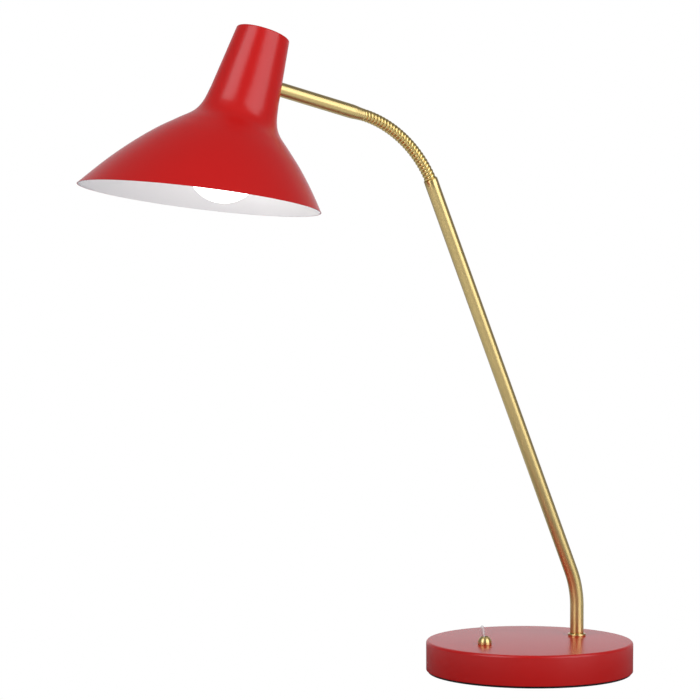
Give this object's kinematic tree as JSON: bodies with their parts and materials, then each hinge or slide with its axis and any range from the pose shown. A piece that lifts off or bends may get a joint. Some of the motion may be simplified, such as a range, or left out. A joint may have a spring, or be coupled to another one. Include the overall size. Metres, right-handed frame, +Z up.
{
  "type": "architect desk lamp",
  "caption": "Desk lamp with a round weighted base, toggle switch, leaning bent brass tube, flexible neck and flared tilted metal shade.",
  "frame": {"origin": "centre of the round face that the lamp stands on", "axes": "+Z up, +X from the middle of the base to the foot of the stem, so the shade hangs on the -X side and XZ is the lamp's plane of symmetry"},
  "size_m": [0.5185, 0.1926, 0.5482],
  "materials": {
    "red_paint": "satin powder coat",
    "satin_brass": "brushed satin",
    "nickel": "polished nickel plate",
    "zinc_steel": "zinc plated",
    "cast_iron": "as cast, black",
    "foot_rubber": "matte",
    "black_plastic": "moulded",
    "white_plastic": "moulded",
    "opal_glass": "opal, lit"
  },
  "bodies": {
    "base": {"base_cover": "red_paint", "foot_pad": "foot_rubber", "base_plate": "zinc_steel", "ballast_weight": "cast_iron", "plate_screw_1": "zinc_steel", "plate_screw_2": "zinc_steel", "plate_screw_3": "zinc_steel", "plate_spacer_1": "zinc_steel", "plate_spacer_2": "zinc_steel", "plate_spacer_3": "zinc_steel", "cord_inlet": "black_plastic", "terminal_block": "white_plastic", "stem_tube": "satin_brass", "stem_collar": "satin_brass", "stem_nipple": "zinc_steel", "stem_washer": "zinc_steel", "stem_nut": "zinc_steel", "switch_body": "black_plastic", "switch_terminal_1": "nickel", "switch_terminal_2": "nickel", "switch_bushing": "nickel", "switch_lock_nut": "nickel", "switch_dome_nut": "satin_brass", "neck_lower_plug": "satin_brass"},
    "neck_link_01": {"neck_link_01": "satin_brass"},
    "neck_link_02": {"neck_link_02": "satin_brass"},
    "neck_link_03": {"neck_link_03": "satin_brass"},
    "neck_link_04": {"neck_link_04": "satin_brass"},
    "neck_link_05": {"neck_link_05": "satin_brass"},
    "neck_link_06": {"neck_link_06": "satin_brass"},
    "neck_link_07": {"neck_link_07": "satin_brass"},
    "neck_link_08": {"neck_link_08": "satin_brass"},
    "neck_link_09": {"neck_link_09": "satin_brass"},
    "neck_link_10": {"neck_link_10": "satin_brass"},
    "neck_link_11": {"neck_link_11": "satin_brass"},
    "head": {"neck_upper_plug": "satin_brass", "arm_tube": "satin_brass", "arm_nut": "zinc_steel", "arm_nipple": "zinc_steel", "shade": "red_paint", "holder_bracket": "zinc_steel", "holder_nut": "zinc_steel", "holder_nipple": "zinc_steel", "holder_cap": "white_plastic", "holder_body": "white_plastic", "holder_thread_shell": "nickel", "holder_contact": "satin_brass"},
    "bulb": {"bulb_contact": "nickel", "bulb_insulator": "black_plastic", "bulb_cap": "nickel", "bulb_globe": "opal_glass"},
    "lever": {"switch_lever": "nickel"}
  },
  "joints": [
    {"name": "neck_bend", "type": "hinge", "parent": "base", "child": "neck_link_01", "pos_m": [-0.10739, 0, 0.43023], "axis": [0, -1, 0], "range_deg": [-10, 8]},
    {"name": "neck_sway", "type": "hinge", "parent": "neck_link_01", "child": "neck_link_02", "pos_m": [-0.11131, 0, 0.43649], "axis": [0.8274, 0, 0.5615], "range_deg": [-8, 8]},
    {"name": "neck_bend_2", "type": "hinge", "parent": "neck_link_02", "child": "neck_link_03", "pos_m": [-0.11568, 0, 0.44245], "axis": [0, -1, 0], "range_deg": [-10, 8]},
    {"name": "neck_sway_2", "type": "hinge", "parent": "neck_link_03", "child": "neck_link_04", "pos_m": [-0.12046, 0, 0.44808], "axis": [0.7387, 0, 0.674], "range_deg": [-8, 8]},
    {"name": "neck_bend_3", "type": "hinge", "parent": "neck_link_04", "child": "neck_link_05", "pos_m": [-0.12564, 0, 0.45336], "axis": [0, -1, 0], "range_deg": [-10, 8]},
    {"name": "neck_sway_3", "type": "hinge", "parent": "neck_link_05", "child": "neck_link_06", "pos_m": [-0.13118, 0, 0.45825], "axis": [0.6348, 0, 0.7727], "range_deg": [-8, 8]},
    {"name": "neck_bend_4", "type": "hinge", "parent": "neck_link_06", "child": "neck_link_07", "pos_m": [-0.13705, 0, 0.46274], "axis": [0, -1, 0], "range_deg": [-10, 8]},
    {"name": "neck_sway_4", "type": "hinge", "parent": "neck_link_07", "child": "neck_link_08", "pos_m": [-0.14323, 0, 0.46679], "axis": [0.5178, 0, 0.8555], "range_deg": [-8, 8]},
    {"name": "neck_bend_5", "type": "hinge", "parent": "neck_link_08", "child": "neck_link_09", "pos_m": [-0.14969, 0, 0.47039], "axis": [0, -1, 0], "range_deg": [-10, 8]},
    {"name": "neck_sway_5", "type": "hinge", "parent": "neck_link_09", "child": "neck_link_10", "pos_m": [-0.15638, 0, 0.47351], "axis": [0.3903, 0, 0.9207], "range_deg": [-8, 8]},
    {"name": "neck_bend_6", "type": "hinge", "parent": "neck_link_10", "child": "neck_link_11", "pos_m": [-0.16329, 0, 0.47615], "axis": [0, -1, 0], "range_deg": [-10, 8]},
    {"name": "neck_sway_6", "type": "hinge", "parent": "neck_link_11", "child": "head", "pos_m": [-0.17036, 0, 0.47829], "axis": [0.2547, 0, 0.967], "range_deg": [-8, 8]},
    {"name": "bulb_turn", "type": "hinge", "parent": "head", "child": "bulb", "pos_m": [-0.30653, 0, 0.43445], "axis": [-0.3239, 0, -0.9461], "continuous": true},
    {"name": "switch_flip", "type": "hinge", "parent": "base", "child": "lever", "pos_m": [-0.048, 0, 0.0298], "axis": [0, 1, 0], "range_deg": [0, 24]}
  ],
  "couplings": [
    {"joint": "neck_bend_2", "follows": "neck_bend", "ratio": 1},
    {"joint": "neck_sway_2", "follows": "neck_sway", "ratio": 1},
    {"joint": "neck_bend_3", "follows": "neck_bend", "ratio": 1},
    {"joint": "neck_sway_3", "follows": "neck_sway", "ratio": 1},
    {"joint": "neck_bend_4", "follows": "neck_bend", "ratio": 1},
    {"joint": "neck_sway_4", "follows": "neck_sway", "ratio": 1},
    {"joint": "neck_bend_5", "follows": "neck_bend", "ratio": 1},
    {"joint": "neck_sway_5", "follows": "neck_sway", "ratio": 1},
    {"joint": "neck_bend_6", "follows": "neck_bend", "ratio": 1},
    {"joint": "neck_sway_6", "follows": "neck_sway", "ratio": 1}
  ]
}
